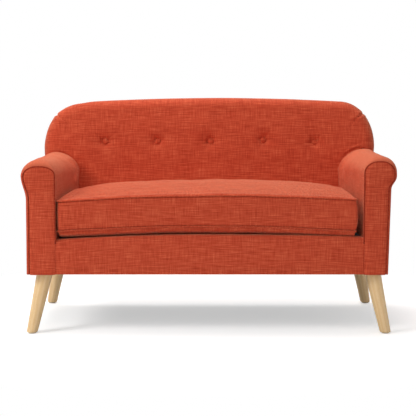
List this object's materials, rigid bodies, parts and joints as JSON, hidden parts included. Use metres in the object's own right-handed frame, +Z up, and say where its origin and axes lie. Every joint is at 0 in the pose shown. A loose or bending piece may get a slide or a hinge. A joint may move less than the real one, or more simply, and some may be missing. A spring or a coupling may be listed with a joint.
{
  "type": "high back settee",
  "caption": "Small upholstered settee with rolled arms, a tall rounded buttoned back, one loose boxed seat cushion and splayed tapered wooden legs.",
  "frame": {"origin": "on the floor, under the middle of the settee's bounding box", "axes": "+Z up, -Y is the front that a sitter faces, +X to the right of someone who looks at the front"},
  "size_m": [1.2898, 0.7336, 0.805],
  "materials": {
    "cover_fabric": "matte",
    "leg_wood": "satin",
    "frame_wood": "matte",
    "foam": "matte",
    "steel": "satin",
    "webbing": "matte",
    "lining_cloth": "matte",
    "nylon": "satin",
    "zip_tape": "matte",
    "zip_metal": "satin"
  },
  "bodies": {
    "frame": {"leg_front_left": "leg_wood", "leg_front_right": "leg_wood", "leg_rear_left": "leg_wood", "leg_rear_right": "leg_wood", "leg_plate_front_left": "steel", "leg_plate_front_right": "steel", "leg_plate_rear_left": "steel", "leg_plate_rear_right": "steel", "leg_glide_front_left": "nylon", "leg_glide_front_right": "nylon", "leg_glide_rear_left": "nylon", "leg_glide_rear_right": "nylon", "front_rail": "frame_wood", "rear_rail": "frame_wood", "centre_beam": "frame_wood", "side_rail_left": "frame_wood", "side_rail_right": "frame_wood", "corner_block_front_left": "frame_wood", "corner_block_front_right": "frame_wood", "corner_block_rear_left": "frame_wood", "corner_block_rear_right": "frame_wood", "arm_front_post_left": "frame_wood", "arm_front_post_right": "frame_wood", "arm_top_rail_left": "frame_wood", "arm_top_rail_right": "frame_wood", "back_post_left": "frame_wood", "back_post_right": "frame_wood", "back_top_rail": "frame_wood", "back_tack_rail": "frame_wood", "spring_clip_rail_front": "steel", "spring_clip_rail_rear": "steel", "spring_bank": "steel", "back_webbing": "webbing", "deck_cloth": "lining_cloth", "dust_cover": "lining_cloth", "deck_pad": "foam", "front_padding": "foam", "arm_foam_left": "foam", "arm_foam_right": "foam", "back_foam": "foam", "front_border": "cover_fabric", "arm_cover_left": "cover_fabric", "arm_cover_right": "cover_fabric", "arm_facing_left": "cover_fabric", "arm_facing_right": "cover_fabric", "arm_piping_left": "cover_fabric", "arm_piping_right": "cover_fabric", "back_outer_panel": "cover_fabric", "back_cover": "cover_fabric", "back_button_1": "cover_fabric", "back_button_2": "cover_fabric", "back_button_3": "cover_fabric", "back_button_4": "cover_fabric", "back_button_5": "cover_fabric"},
    "cushion": {"cushion_cover": "cover_fabric", "cushion_foam": "foam", "cushion_piping_top": "cover_fabric", "cushion_piping_bottom": "cover_fabric", "cushion_zip": "zip_tape"},
    "zip_slider": {"zip_slider": "zip_metal"}
  },
  "joints": [
    {"name": "seat_cushion_lift", "type": "slide", "parent": "frame", "child": "cushion", "axis": [0, 0, 1], "range_m": [0, 0.3]},
    {"name": "zip_slide", "type": "slide", "parent": "cushion", "child": "zip_slider", "axis": [-1, 0, 0], "range_m": [0, 0.83]}
  ]
}
